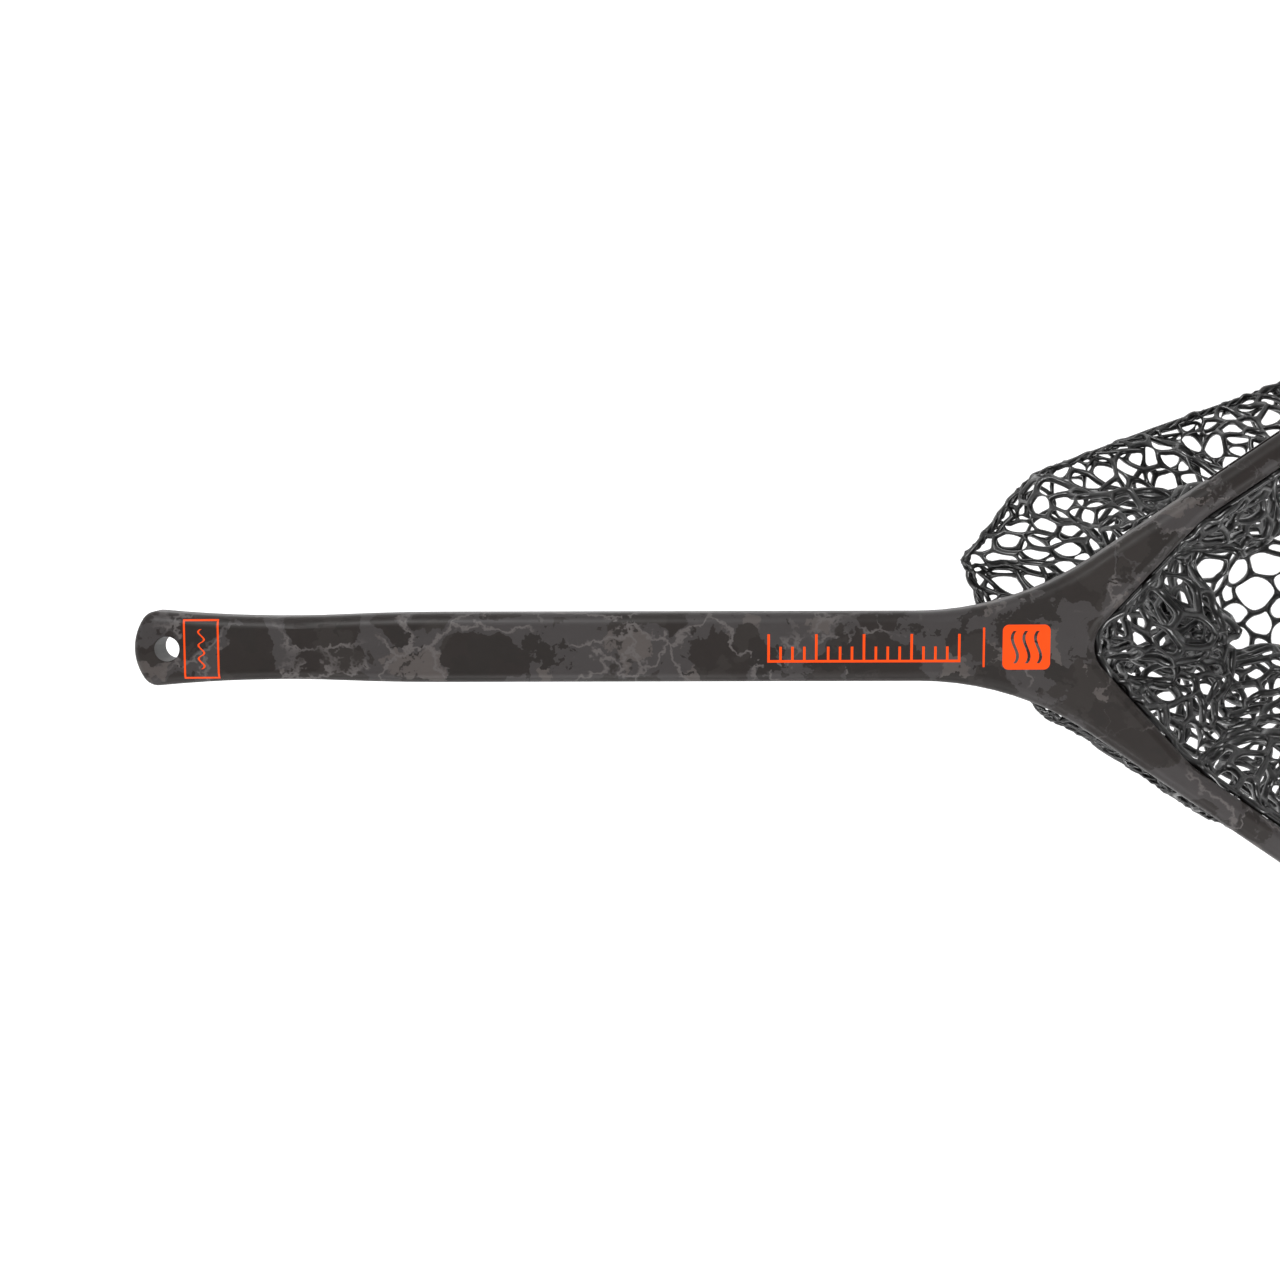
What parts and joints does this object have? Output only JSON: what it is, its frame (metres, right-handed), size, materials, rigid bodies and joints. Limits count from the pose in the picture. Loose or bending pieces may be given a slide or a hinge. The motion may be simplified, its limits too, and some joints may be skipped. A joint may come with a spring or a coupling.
{
  "type": "landing net",
  "caption": "Hand landing net: composite grip handle opening into a teardrop hoop, with a deep rubber mesh bag laced into the hoop's groove.",
  "frame": {"origin": "centre of the lanyard hole, on the frame's mid-plane", "axes": "+X along the handle towards the hoop, +Z out of the printed front face, so the bag hangs towards -Z, and +Y to the left of the handle"},
  "size_m": [0.9399, 0.358, 0.3052],
  "materials": {
    "camo_composite": "satin clear coat over a printed grey-brown camouflage pattern",
    "foam": "closed-cell foam",
    "lacing": "braided cord",
    "rubber_mesh": "moulded rubber, semi-gloss",
    "orange_print": "satin ink under clear coat"
  },
  "bodies": {
    "frame": {"handle_front_shell": "camo_composite", "handle_back_shell": "camo_composite", "hoop_front_shell": "camo_composite", "hoop_back_shell": "camo_composite", "foam_core": "foam", "lacing_cord": "lacing", "lacing_end_knots": "lacing", "bag_rim": "rubber_mesh", "bag_wall": "rubber_mesh", "emblem_inlay": "orange_print", "divider_inlay": "orange_print", "scale_marks_inlay": "orange_print", "badge_inlay": "orange_print"},
    "bag_bottom": {"bag_floor": "rubber_mesh", "bag_seam": "rubber_mesh"}
  },
  "joints": [
    {"name": "bag_lift", "type": "slide", "parent": "frame", "child": "bag_bottom", "axis": [0, 0, 1], "range_m": [0, 0.15]}
  ]
}
